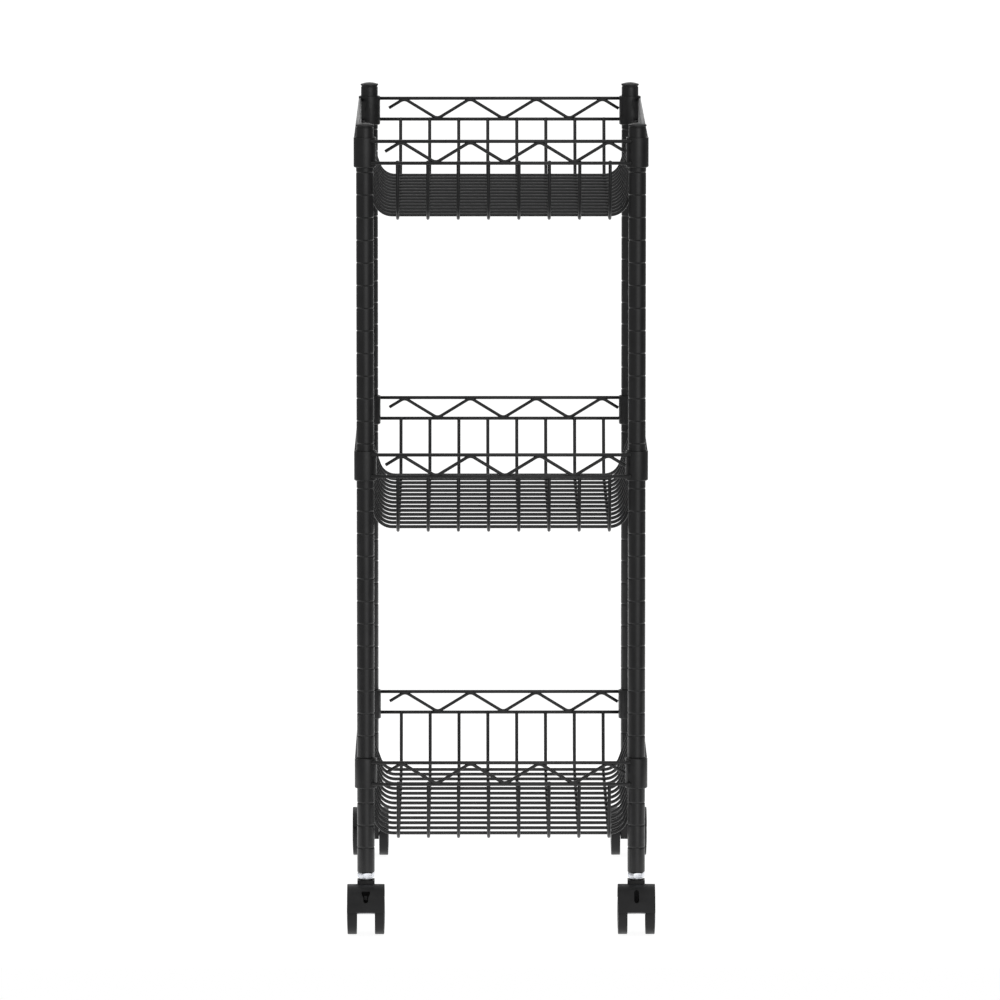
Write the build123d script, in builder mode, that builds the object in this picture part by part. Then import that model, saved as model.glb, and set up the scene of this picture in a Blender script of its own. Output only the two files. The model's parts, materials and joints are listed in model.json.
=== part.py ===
from build123d import *
import os
from math import asin, atan2, cos, degrees, hypot, radians, sin, sqrt, tan

# Rolling pantry cart: four grooved posts carry three wire baskets and stand on four
# twin-wheel casters.  Millimetres.  Origin on the floor, midway between the posts,
# +X to the right, +Y to the rear, +Z up.

# ---------------------------------------------------------------- driving dimensions
POST_SPACING_X = 304.0
POST_SPACING_Y = 533.4
POST_OD = 19.6
POST_WALL = 1.6
POST_LENGTH = 840.6
POST_FOOT_ROUND = 1.2
POST_HEAD_ROUND = 0.6
GROOVE_PITCH = 25.4
GROOVE_FIRST_RISE = 28.5
GROOVE_HEAD_CLEARANCE = 12.0
GROOVE_WIDTH = 1.8
GROOVE_DEPTH = 0.65

CAP_NECK_INSET = 0.7
CAP_NECK_HEIGHT = 1.3
CAP_FLANGE_OVERHANG = 0.45
CAP_FLANGE_HEIGHT = 1.8
CAP_FLANGE_BEVEL = 0.4
CAP_DOME_HEIGHT = 1.9
CAP_PLUG_LENGTH = 14.0
CAP_PLUG_WALL = 2.7
CAP_PLUG_LEAD_WIDTH = 1.0
CAP_PLUG_LEAD_HEIGHT = 2.0

MIDDLE_BASKET_GROOVE = 17
BOTTOM_BASKET_GROOVE = 3
TOP_RAIL_ABOVE_GROOVE = 10.0
MIDDLE_RAIL_ABOVE_GROOVE = 13.7
BOTTOM_RAIL_ABOVE_GROOVE = 21.1
RAIL_DIAMETER = 3.9
RAIL_DROP = 24.4
RAIL_END_BITE = 0.89
FLOOR_DROP = 86.3
WIRE_DIAMETER = 3.8
WALL_SLOPE = 20.0
WIRE_BEND_RADIUS = 20.0
WIRE_TIP_RISE = 2.0
FLOOR_WIRE_EDGE_GAP = 12.0
LONG_WIRE_SPACING = 33.9
LONG_WIRE_OFFSET_X = 3.0
CROSS_WIRE_SPACING = 36.2

SLEEVE_WALL_AT_RIB = 1.4
SLEEVE_TAPER = 0.75
SLEEVE_ABOVE_RIB = 13.0
SLEEVE_BELOW_RIB = 8.0
SLEEVE_SPLIT = 0.6
COLLAR_WALL_AT_RIB = 1.35
COLLAR_RISE = 3.6
COLLAR_DROP = 29.7
COLLAR_FOOT_ROUND = 1.5
COLLAR_ROUND_SHARE = 0.8

TRUSS_DIAMETER = 3.7
TRUSS_PITCH = 77.1
TRUSS_CORNER_GAP = 0.43
TRUSS_BEND_RADIUS = 8.0
END_TRUSS_OFFSET_X = 4.25
END_TRUSS_TAIL_LEFT = 17.9
END_TRUSS_TAIL_RIGHT = 19.1
SIDE_TRUSS_TAIL = 19.0

WHEEL_DIAMETER = 50.0
WHEEL_RIM_WIDTH = 10.5
WHEEL_CROWN = 0.8
WHEEL_GAP = 20.3
WHEEL_TREAD_THICKNESS = 3.5
WHEEL_DISC_THICKNESS = 1.9
WHEEL_EDGE_ROUND = 1.0
WHEEL_HUB_OD = 11.0
WHEEL_RIB_COUNT = 6
WHEEL_RIB_THICKNESS = 1.6
WHEEL_RIB_DEPTH = 3.6
WHEEL_RIB_ROOT = 0.5
CASTER_TRAIL = 12.0
AXLE_DIAMETER = 5.0
AXLE_END_INSET = 2.6
AXLE_END_GAP = 0.3
AXLE_CHAMFER = 0.4
RUNNING_CLEARANCE = 0.05

# heights of the caster housing are counted from its axle
HOOD_GAP = 3.6
HOOD_WALL = 3.0
HOOD_SIDE_OVERHANG = 0.35
HOOD_TRAILING_EDGE_RISE = 4.0
HOOD_LEADING_EDGE_RISE = 13.0
HOOD_EDGE_ROUND = 0.8
WEB_SIDE_CLEARANCE = 0.5
WEB_FOOT_DROP = 3.0
WEB_TRAILING_Y = -17.0
WEB_LEADING_Y = 9.5
EAR_BEHIND_PIVOT = 3.8
EAR_FOOT_RISE = 2.2
EAR_TOP_RISE = 9.4
NECK_OD = 16.8
NECK_ABOVE_HOOD = 5.1
NECK_ROOT_INSET = 1.0
NECK_ROUND = 1.2

# heights of the finger slot are counted from the brake tab
SLOT_WIDTH = 5.4
SLOT_LOW_DROP = 5.5
SLOT_HIGH_RISE = 7.7
FUNNEL_WIDTH = 9.4
FUNNEL_THROAT_RISE = 0.1
FUNNEL_SHOULDER_RISE = 3.7
FUNNEL_HIGH_RISE = 6.3

STEM_DIAMETER = 10.0
STEM_ENGAGEMENT = 21.4
STEM_THREAD_CHAMFER = 1.0
STEM_PIN_DIAMETER = 8.0
STEM_PIN_CHAMFER = 0.5
STEM_SHOULDER_OD = 15.5
STEM_SHOULDER_HEIGHT = 0.8
SWIVEL_GAP = 0.1
NUT_SEAT_WIDTH = 0.3
NUT_HEIGHT = 6.0
NUT_TURN = 12.0
NUT_CHAMFER_SHARE = 0.97
NUT_CHAMFER_HEIGHT = 0.8
INSERT_LENGTH = 24.0
RING_ABOVE_AXLE = 2.0
RING_BELOW_CLEARANCE = 2.0
RING_THICKNESS = 1.0
RING_GROOVE_DEPTH = 0.9
RING_OD = 12.0
RING_POCKET_CLEARANCE = 0.7
RING_HEAD_GAP = 0.6

BRAKE_BAR_ANGLE = 120.04
BRAKE_BAR_INSIDE_RIM = 4.2
BRAKE_PIVOT_FROM_BAR = (-3.7, -8.9)
BRAKE_TAB_ANGLE = 136.04
BRAKE_TAB_INSIDE_HOOD = 3.0
BRAKE_PIN_DIAMETER = 3.0
BRAKE_BOSS_OD = 6.4
BRAKE_BAR_DIAMETER = 3.6
BRAKE_BAR_REACH = 3.35
BRAKE_LEVER_THICKNESS = 4.2
BRAKE_LEVER_WIDTH = 3.8
BRAKE_SLOT_CLEARANCE = 0.5
BRAKE_SLOT_DEPTH = 10.5

# ---------------------------------------------------------------- derived dimensions
WHEEL_R = WHEEL_DIAMETER / 2
RIM_INNER_R = WHEEL_R - WHEEL_TREAD_THICKNESS
HOOD_INNER_R = WHEEL_R + HOOD_GAP
HOOD_OUTER_R = HOOD_INNER_R + HOOD_WALL
HOOD_WIDTH = WHEEL_GAP + 2 * (WHEEL_RIM_WIDTH + HOOD_SIDE_OVERHANG)
HOOD_TRAILING_EDGE_Z = WHEEL_R + HOOD_TRAILING_EDGE_RISE
HOOD_LEADING_EDGE_Z = WHEEL_R + HOOD_LEADING_EDGE_RISE
WEB_WIDTH = WHEEL_GAP - 2 * WEB_SIDE_CLEARANCE
WEB_FOOT_Z = WHEEL_R - WEB_FOOT_DROP
EAR_FOOT_Z = WHEEL_R + EAR_FOOT_RISE
EAR_TOP_Z = WHEEL_R + EAR_TOP_RISE
AXLE_LENGTH = WHEEL_GAP + 2 * (WHEEL_RIM_WIDTH - AXLE_END_INSET)
NECK_TOP_Z = WHEEL_R + HOOD_OUTER_R + NECK_ABOVE_HOOD
NECK_ROOT_Z = WHEEL_R + NECK_ROOT_INSET + sqrt(HOOD_INNER_R ** 2 - (CASTER_TRAIL + NECK_OD / 2) ** 2)
STEM_SHOULDER_Z = NECK_TOP_Z + SWIVEL_GAP
NUT_FOOT_Z = STEM_SHOULDER_Z + STEM_SHOULDER_HEIGHT
POST_FOOT_Z = NUT_FOOT_Z + NUT_HEIGHT
STEM_THREAD_TOP_Z = POST_FOOT_Z + STEM_ENGAGEMENT
RING_GROOVE_Z = WHEEL_R + RING_ABOVE_AXLE
RING_BORE_R = STEM_PIN_DIAMETER / 2 - RING_GROOVE_DEPTH
RING_POCKET_R = RING_OD / 2 + RING_POCKET_CLEARANCE
RING_POCKET_TOP_Z = RING_GROOVE_Z + RING_THICKNESS + RING_HEAD_GAP
STEM_PIN_FOOT_Z = RING_GROOVE_Z - RING_BELOW_CLEARANCE


def from_axle(radius, angle):
    """A point of the caster's side view, as (y, z), by its distance and angle about the axle."""
    turn = radians(angle)
    return -CASTER_TRAIL + radius * cos(turn), WHEEL_R + radius * sin(turn)


BRAKE_BAR = from_axle(RIM_INNER_R - BRAKE_BAR_INSIDE_RIM, BRAKE_BAR_ANGLE)
BRAKE_TAB = from_axle(HOOD_OUTER_R - BRAKE_TAB_INSIDE_HOOD, BRAKE_TAB_ANGLE)
BRAKE_PIVOT = (BRAKE_BAR[0] + BRAKE_PIVOT_FROM_BAR[0], BRAKE_BAR[1] + BRAKE_PIVOT_FROM_BAR[1])
BRAKE_BAR_LENGTH = WHEEL_GAP + 2 * BRAKE_BAR_REACH
EAR_TRAILING_Y = BRAKE_PIVOT[0] - EAR_BEHIND_PIVOT

POST_R = POST_OD / 2
POST_BORE_R = POST_R - POST_WALL
NUT_ACROSS_FLATS = 2 * (POST_BORE_R + NUT_SEAT_WIDTH)
POST_HEAD_Z = POST_FOOT_Z + POST_LENGTH
GROOVE_FIRST_Z = POST_FOOT_Z + GROOVE_FIRST_RISE
GROOVE_SPAN = POST_LENGTH - GROOVE_FIRST_RISE - GROOVE_HEAD_CLEARANCE
GROOVE_COUNT = int(GROOVE_SPAN / GROOVE_PITCH) + 1
SLEEVE_R_AT_RIB = POST_R + SLEEVE_WALL_AT_RIB
COLLAR_R = SLEEVE_R_AT_RIB + COLLAR_WALL_AT_RIB

RAIL_R = RAIL_DIAMETER / 2
WIRE_R = WIRE_DIAMETER / 2
TRUSS_R = TRUSS_DIAMETER / 2
RAIL_OFFSET = COLLAR_R - RAIL_R
RAIL_X = POST_SPACING_X / 2 + RAIL_OFFSET
RAIL_Y = POST_SPACING_Y / 2 + RAIL_OFFSET
RAIL_END_GAP = sqrt(COLLAR_R ** 2 - (RAIL_OFFSET - RAIL_R) ** 2) - RAIL_END_BITE
END_RAIL_HALF = POST_SPACING_X / 2 - RAIL_END_GAP
SIDE_RAIL_HALF = POST_SPACING_Y / 2 - RAIL_END_GAP
WALL_TAN = tan(radians(WALL_SLOPE))
WALL_STANDOFF = (RAIL_R + WIRE_R) / cos(radians(WALL_SLOPE))
TRUSS_RISE = RAIL_DROP - 2 * TRUSS_CORNER_GAP
TRUSS_TAN = 2 * TRUSS_RISE / TRUSS_PITCH
END_TRUSS_REACH = END_RAIL_HALF - END_TRUSS_TAIL_RIGHT - END_TRUSS_OFFSET_X
END_TRUSS_HALF_WAVES = 2 * int(2 * END_TRUSS_REACH / TRUSS_PITCH)
SIDE_TRUSS_HALF_WAVES = 2 * int(2 * (SIDE_RAIL_HALF - SIDE_TRUSS_TAIL) / TRUSS_PITCH)


def wall_run(floor_drop):
    """How far a leaning wall of the basket comes inwards between the lower rail and the floor."""
    return WALL_STANDOFF + (floor_drop - RAIL_DROP) * WALL_TAN


def wires_that_fit(rail_distance, floor_drop, spacing):
    """Number of floor wires between two leaning walls."""
    half_floor = rail_distance - wall_run(floor_drop) - FLOOR_WIRE_EDGE_GAP
    return int(2 * half_floor / spacing) + 1


LONG_FLOOR_DROP = FLOOR_DROP + WIRE_DIAMETER
LONG_WIRE_COUNT = wires_that_fit(RAIL_X, FLOOR_DROP, LONG_WIRE_SPACING)
CROSS_WIRE_COUNT = wires_that_fit(RAIL_Y, LONG_FLOOR_DROP, CROSS_WIRE_SPACING)

TOP_BASKET_GROOVE = GROOVE_COUNT - 1
BASKETS = {
    "top": (TOP_BASKET_GROOVE, TOP_RAIL_ABOVE_GROOVE),
    "middle": (MIDDLE_BASKET_GROOVE, MIDDLE_RAIL_ABOVE_GROOVE),
    "bottom": (BOTTOM_BASKET_GROOVE, BOTTOM_RAIL_ABOVE_GROOVE),
}

CORNERS = {
    "front_left": (-POST_SPACING_X / 2, -POST_SPACING_Y / 2),
    "front_right": (POST_SPACING_X / 2, -POST_SPACING_Y / 2),
    "rear_left": (-POST_SPACING_X / 2, POST_SPACING_Y / 2),
    "rear_right": (POST_SPACING_X / 2, POST_SPACING_Y / 2),
}
BRAKED_CORNERS = ("front_left", "rear_right")

os.makedirs("parts", exist_ok=True)


def save(builder, name):
    """Label the finished piece and write it under its own name."""
    builder.part.label = name
    export_step(builder.part, f"parts/{name}.step")


def save_at(part, name, places):
    """Write copies of a piece at the given locations as one node."""
    with BuildPart() as placed:
        with Locations(*places):
            add(part)
    save(placed, name)


def corner_places(z=0.0, end=""):
    """The post axes at one height, all four or those of the front or the rear end."""
    return [Location((x, y, z)) for corner, (x, y) in CORNERS.items() if corner.startswith(end)]


def groove_z(index):
    """Height of one locating groove, counted from the lowest."""
    return GROOVE_FIRST_Z + index * GROOVE_PITCH


def dome_middle(edge_r, height):
    """Midpoint of the arc of a spherical dome, as (radius, height above its edge)."""
    sphere_r = (edge_r ** 2 + height ** 2) / (2 * height)
    half_angle = asin(edge_r / sphere_r) / 2
    return sphere_r * sin(half_angle), sphere_r * cos(half_angle) - (sphere_r - height)


# ---------------------------------------------------------------- posts
def post_outline():
    """Half section of a post: foot round, locating grooves, head round."""
    points = [(POST_BORE_R, POST_FOOT_Z), (POST_R - POST_FOOT_ROUND, POST_FOOT_Z)]
    points.append((POST_R, POST_FOOT_Z + POST_FOOT_ROUND))
    for index in range(GROOVE_COUNT):
        z = groove_z(index)
        points.append((POST_R, z - GROOVE_WIDTH / 2))
        points.append((POST_R - GROOVE_DEPTH, z))
        points.append((POST_R, z + GROOVE_WIDTH / 2))
    points.append((POST_R, POST_HEAD_Z - POST_HEAD_ROUND))
    points.append((POST_R - POST_HEAD_ROUND, POST_HEAD_Z))
    points.append((POST_BORE_R, POST_HEAD_Z))
    return points


def make_post():
    """A tube with V grooves rolled in at a fixed pitch."""
    with BuildPart() as post:
        with BuildSketch(Plane.XZ):
            with BuildLine():
                Polyline(*post_outline(), close=True)
            make_face()
        revolve(axis=Axis.Z)
    return post.part


def make_cap():
    """Plug-in end cap: hollow plug, neck, flange and low dome."""
    neck_top = CAP_NECK_HEIGHT
    flange_top = neck_top + CAP_FLANGE_HEIGHT
    flange_r = POST_R + CAP_FLANGE_OVERHANG
    neck_r = POST_R - CAP_NECK_INSET
    plug_r = POST_BORE_R
    bore_r = plug_r - CAP_PLUG_WALL
    middle_r, middle_rise = dome_middle(flange_r, CAP_DOME_HEIGHT)
    with BuildPart() as cap:
        with BuildSketch(Plane.XZ):
            with BuildLine():
                Polyline(
                    (0, 0),
                    (bore_r, 0),
                    (bore_r, -CAP_PLUG_LENGTH),
                    (plug_r - CAP_PLUG_LEAD_WIDTH, -CAP_PLUG_LENGTH),
                    (plug_r, -CAP_PLUG_LENGTH + CAP_PLUG_LEAD_HEIGHT),
                    (plug_r, 0),
                    (neck_r, 0),
                    (neck_r, neck_top),
                    (flange_r, neck_top + CAP_FLANGE_BEVEL),
                    (flange_r, flange_top),
                )
                ThreePointArc(
                    (flange_r, flange_top),
                    (middle_r, flange_top + middle_rise),
                    (0, flange_top + CAP_DOME_HEIGHT),
                )
                Line((0, flange_top + CAP_DOME_HEIGHT), (0, 0))
            make_face()
        revolve(axis=Axis.Z)
    return cap.part


def make_insert():
    """Threaded bush pressed into the foot of a post."""
    with BuildPart() as insert:
        with BuildSketch(Plane.XY.offset(POST_FOOT_Z)):
            Circle(POST_BORE_R)
            Circle(STEM_DIAMETER / 2, mode=Mode.SUBTRACT)
        extrude(amount=INSERT_LENGTH)
    return insert.part


def build_posts():
    """Four posts, their caps and their threaded inserts."""
    post = make_post()
    for corner, (x, y) in CORNERS.items():
        save_at(post, f"post_{corner}", [Location((x, y, 0))])
    save_at(make_cap(), "post_caps", corner_places(POST_HEAD_Z))
    save_at(make_insert(), "post_inserts", corner_places())


# ---------------------------------------------------------------- baskets
def make_straight_wire(plane, half_length, diameter):
    """A straight round wire centred on its plane's origin, along the plane's normal."""
    with BuildPart() as wire:
        with BuildSketch(plane):
            Circle(diameter / 2)
        extrude(amount=half_length, both=True)
    return wire.part


def make_rails(z):
    """Four rails at one height, coped to the collars that they are welded to."""
    end_rail = make_straight_wire(Plane.YZ, END_RAIL_HALF, RAIL_DIAMETER)
    side_rail = make_straight_wire(Plane.XZ, SIDE_RAIL_HALF, RAIL_DIAMETER)
    with BuildPart() as rails:
        with Locations((0, -RAIL_Y, z), (0, RAIL_Y, z)):
            add(end_rail)
        with Locations((-RAIL_X, 0, z), (RAIL_X, 0, z)):
            add(side_rail)
        with Locations(*corner_places(z)):
            Cylinder(COLLAR_R, 4 * RAIL_DIAMETER, mode=Mode.SUBTRACT)
    return rails.part


def make_u_wire(plane, rail_distance, floor_drop):
    """A U of wire: flat floor, rounded corners, walls that lean out to the lower rail.

    The plane's x runs across the basket, its y is up, and y = 0 is the lower rail.
    """
    depth = floor_drop - RAIL_DROP
    tip = rail_distance - WALL_STANDOFF + WIRE_TIP_RISE * WALL_TAN
    corner = rail_distance - wall_run(floor_drop)
    with BuildPart() as wire:
        with BuildLine(plane) as path:
            FilletPolyline(
                (-tip, WIRE_TIP_RISE),
                (-corner, -depth),
                (corner, -depth),
                (tip, WIRE_TIP_RISE),
                radius=WIRE_BEND_RADIUS,
            )
        with BuildSketch(Plane(origin=path.line @ 0, z_dir=path.line % 0)):
            Circle(WIRE_R)
        sweep(path=path.line)
    return wire.part


def row(count, spacing, centre=0.0):
    """Evenly spaced positions about a centre."""
    return [centre + (index - (count - 1) / 2) * spacing for index in range(count)]


def make_long_wires(rail_z):
    """Floor wires that run front to back, under the cross wires."""
    wire = make_u_wire(Plane.YZ, RAIL_Y, LONG_FLOOR_DROP)
    lower_z = rail_z - RAIL_DROP
    with BuildPart() as wires:
        with Locations(*[(x, 0, lower_z) for x in
                         row(LONG_WIRE_COUNT, LONG_WIRE_SPACING, LONG_WIRE_OFFSET_X)]):
            add(wire)
    return wires.part


def make_cross_wires(rail_z):
    """Floor wires that run side to side and lie on the long wires."""
    wire = make_u_wire(Plane.XZ, RAIL_X, FLOOR_DROP)
    lower_z = rail_z - RAIL_DROP
    with BuildPart() as wires:
        with Locations(*[(0, y, lower_z) for y in row(CROSS_WIRE_COUNT, CROSS_WIRE_SPACING)]):
            add(wire)
    return wires.part


def make_truss(plane, first, half_waves, tail_start, tail_end):
    """A zigzag wire between two rails.

    The plane's x runs along the rails and its y is up, with y = 0 midway between the
    rails.  The zigzag starts and ends with a tail that runs down from an upper bend.
    """
    half_pitch = TRUSS_PITCH / 2
    high = TRUSS_RISE / 2
    points = [(first - tail_start, high - tail_start * TRUSS_TAN)]
    for index in range(half_waves + 1):
        points.append((first + index * half_pitch, high if index % 2 == 0 else -high))
    last = first + half_waves * half_pitch
    points.append((last + tail_end, high - tail_end * TRUSS_TAN))
    with BuildPart() as truss:
        with BuildLine(plane) as path:
            FilletPolyline(*points, radius=TRUSS_BEND_RADIUS)
        with BuildSketch(Plane(origin=path.line @ 0, z_dir=path.line % 0)):
            Circle(TRUSS_R)
        sweep(path=path.line)
    return truss.part


def make_trusses(rail_z, top_rails, lower_rails):
    """The four zigzags of one basket, coped where they are welded to the rails."""
    middle_z = rail_z - RAIL_DROP / 2
    end_first = END_TRUSS_OFFSET_X - END_TRUSS_HALF_WAVES * TRUSS_PITCH / 4
    end_truss = make_truss(Plane.XZ, end_first, END_TRUSS_HALF_WAVES,
                           END_TRUSS_TAIL_LEFT, END_TRUSS_TAIL_RIGHT)
    side_first = -SIDE_TRUSS_HALF_WAVES * TRUSS_PITCH / 4
    side_truss = make_truss(Plane.YZ, side_first, SIDE_TRUSS_HALF_WAVES,
                            SIDE_TRUSS_TAIL, SIDE_TRUSS_TAIL)
    with BuildPart() as trusses:
        with Locations((0, -RAIL_Y, middle_z), (0, RAIL_Y, middle_z)):
            add(end_truss)
        with Locations((-RAIL_X, 0, middle_z), (RAIL_X, 0, middle_z)):
            add(side_truss)
        add(top_rails, mode=Mode.SUBTRACT)
        add(lower_rails, mode=Mode.SUBTRACT)
    return trusses.part


def sleeve_radius(z, rib_z):
    """Outer radius of the tapered sleeve at one height: wider lower down."""
    return SLEEVE_R_AT_RIB + (rib_z - z) * tan(radians(SLEEVE_TAPER))


def make_collar(rail_z, rib_z):
    """A collar whose tapered bore wedges down over the sleeve."""
    foot_z = rail_z - COLLAR_DROP
    head_z = rail_z + COLLAR_RISE
    foot_bore = sleeve_radius(foot_z, rib_z)
    head_bore = sleeve_radius(head_z, rib_z)
    edge = min(COLLAR_FOOT_ROUND, COLLAR_ROUND_SHARE * (COLLAR_R - foot_bore))
    with BuildPart() as collar:
        with BuildSketch(Plane.XZ):
            with BuildLine():
                Polyline((foot_bore, foot_z), (head_bore, head_z), (COLLAR_R, head_z),
                         (COLLAR_R, foot_z + edge))
                RadiusArc((COLLAR_R, foot_z + edge), (COLLAR_R - edge, foot_z), edge)
                Line((COLLAR_R - edge, foot_z), (foot_bore, foot_z))
            make_face()
        revolve(axis=Axis.Z)
    return collar.part


def make_sleeve(rib_z):
    """Both halves of a split sleeve, with a rib that sits in one groove of the post."""
    foot_z = rib_z - SLEEVE_BELOW_RIB
    head_z = rib_z + SLEEVE_ABOVE_RIB
    rib_tip = POST_R - GROOVE_DEPTH
    half_groove = GROOVE_WIDTH / 2
    with BuildPart() as sleeve:
        with BuildSketch(Plane.XZ):
            with BuildLine():
                Polyline(
                    (POST_R, foot_z),
                    (sleeve_radius(foot_z, rib_z), foot_z),
                    (sleeve_radius(head_z, rib_z), head_z),
                    (POST_R, head_z),
                    (POST_R, rib_z + half_groove),
                    (rib_tip, rib_z),
                    (POST_R, rib_z - half_groove),
                    close=True,
                )
            make_face()
        revolve(axis=Axis.Z)
        with Locations((0, 0, rib_z)):
            Box(4 * COLLAR_R, SLEEVE_SPLIT, 4 * COLLAR_R, mode=Mode.SUBTRACT)
    return sleeve.part


def build_basket(level, groove, rail_rise):
    """All the pieces of one basket and of the sleeves that hold it at one groove."""
    rib_z = groove_z(groove)
    rail_z = rib_z + rail_rise
    top_rails = make_rails(rail_z)
    lower_rails = make_rails(rail_z - RAIL_DROP)
    here = [Location((0, 0, 0))]
    save_at(top_rails, f"basket_{level}_top_rails", here)
    save_at(lower_rails, f"basket_{level}_lower_rails", here)
    save_at(make_trusses(rail_z, top_rails, lower_rails), f"basket_{level}_trusses", here)
    save_at(make_long_wires(rail_z), f"basket_{level}_long_wires", here)
    save_at(make_cross_wires(rail_z), f"basket_{level}_cross_wires", here)
    collar = make_collar(rail_z, rib_z)
    sleeve = make_sleeve(rib_z)
    for end in ("front", "rear"):
        save_at(collar, f"basket_{level}_{end}_collars", corner_places(end=end))
        save_at(sleeve, f"sleeves_{level}_{end}", corner_places(end=end))


# ---------------------------------------------------------------- casters
# A caster is modelled about its swivel axis with its wheels trailing towards -Y.
def make_stem():
    """Steel stem: thread for the post, shoulder, swivel pin and ring groove."""
    pin_r = STEM_PIN_DIAMETER / 2
    thread_r = STEM_DIAMETER / 2
    shoulder_r = STEM_SHOULDER_OD / 2
    with BuildPart() as stem:
        with BuildSketch(Plane.XZ):
            with BuildLine():
                Polyline(
                    (0, STEM_PIN_FOOT_Z),
                    (pin_r - STEM_PIN_CHAMFER, STEM_PIN_FOOT_Z),
                    (pin_r, STEM_PIN_FOOT_Z + STEM_PIN_CHAMFER),
                    (pin_r, RING_GROOVE_Z),
                    (RING_BORE_R, RING_GROOVE_Z),
                    (RING_BORE_R, RING_GROOVE_Z + RING_THICKNESS),
                    (pin_r, RING_GROOVE_Z + RING_THICKNESS),
                    (pin_r, STEM_SHOULDER_Z),
                    (shoulder_r, STEM_SHOULDER_Z),
                    (shoulder_r, NUT_FOOT_Z),
                    (thread_r, NUT_FOOT_Z),
                    (thread_r, STEM_THREAD_TOP_Z - STEM_THREAD_CHAMFER),
                    (thread_r - STEM_THREAD_CHAMFER, STEM_THREAD_TOP_Z),
                    (0, STEM_THREAD_TOP_Z),
                    close=True,
                )
            make_face()
        revolve(axis=Axis.Z)
    return stem.part


def make_nut():
    """Chamfered hexagon nut that locks the stem against the post."""
    corner_r = NUT_ACROSS_FLATS / 2 / cos(radians(30))
    chamfer_r = NUT_ACROSS_FLATS / 2 * NUT_CHAMFER_SHARE
    with BuildPart() as nut:
        with BuildSketch(Plane.XY.offset(NUT_FOOT_Z)):
            RegularPolygon(corner_r, 6, rotation=NUT_TURN)
            Circle(STEM_DIAMETER / 2, mode=Mode.SUBTRACT)
        extrude(amount=NUT_HEIGHT)
        with BuildSketch(Plane.XZ):
            with BuildLine():
                Polyline(
                    (0, NUT_FOOT_Z),
                    (chamfer_r, NUT_FOOT_Z),
                    (corner_r, NUT_FOOT_Z + NUT_CHAMFER_HEIGHT),
                    (corner_r, POST_FOOT_Z - NUT_CHAMFER_HEIGHT),
                    (chamfer_r, POST_FOOT_Z),
                    (0, POST_FOOT_Z),
                    close=True,
                )
            make_face()
        revolve(axis=Axis.Z, mode=Mode.INTERSECT)
    return nut.part


def make_ring():
    """Retaining ring in the groove near the foot of the swivel pin."""
    with BuildPart() as ring:
        with BuildSketch(Plane.XY.offset(RING_GROOVE_Z)):
            Circle(RING_OD / 2)
            Circle(RING_BORE_R, mode=Mode.SUBTRACT)
            with Locations((0, RING_OD / 2)):
                Rectangle(2 * RING_GROOVE_DEPTH, RING_OD, mode=Mode.SUBTRACT)
        extrude(amount=RING_THICKNESS)
    return ring.part


def hood_profile(inner_r, outer_r):
    """Band round the wheels, cut off at its trailing and leading lower edges."""
    reach = 2 * outer_r
    with Locations((-CASTER_TRAIL, WHEEL_R)):
        Circle(outer_r)
        if inner_r > 0:
            Circle(inner_r, mode=Mode.SUBTRACT)
    with Locations((-CASTER_TRAIL - reach / 2, HOOD_TRAILING_EDGE_Z - reach / 2)):
        Rectangle(reach, reach, mode=Mode.SUBTRACT)
    with Locations((-CASTER_TRAIL + reach / 2, HOOD_LEADING_EDGE_Z - reach / 2)):
        Rectangle(reach, reach, mode=Mode.SUBTRACT)


def finger_slot(braked):
    """Opening in the trailing face: an upright slot, or a funnel over the brake tab."""
    half = SLOT_WIDTH / 2
    wide = FUNNEL_WIDTH / 2
    tab_z = BRAKE_TAB[1]
    low_z = tab_z - SLOT_LOW_DROP
    high_z = tab_z + SLOT_HIGH_RISE
    throat_z = tab_z + FUNNEL_THROAT_RISE
    shoulder_z = tab_z + FUNNEL_SHOULDER_RISE
    top_z = tab_z + FUNNEL_HIGH_RISE
    foot = low_z + half
    head = high_z - half
    with BuildSketch(Plane.XZ.offset(CASTER_TRAIL + HOOD_OUTER_R)) as slot:
        with BuildLine():
            ThreePointArc((-half, foot), (0, low_z), (half, foot))
            if braked:
                Polyline((half, foot), (half, throat_z), (wide, shoulder_z), (wide, top_z),
                         (-wide, top_z), (-wide, shoulder_z), (-half, throat_z), (-half, foot))
            else:
                Line((half, foot), (half, head))
                ThreePointArc((half, head), (0, high_z), (-half, head))
                Line((-half, head), (-half, foot))
        make_face()
    return slot.sketch


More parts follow.
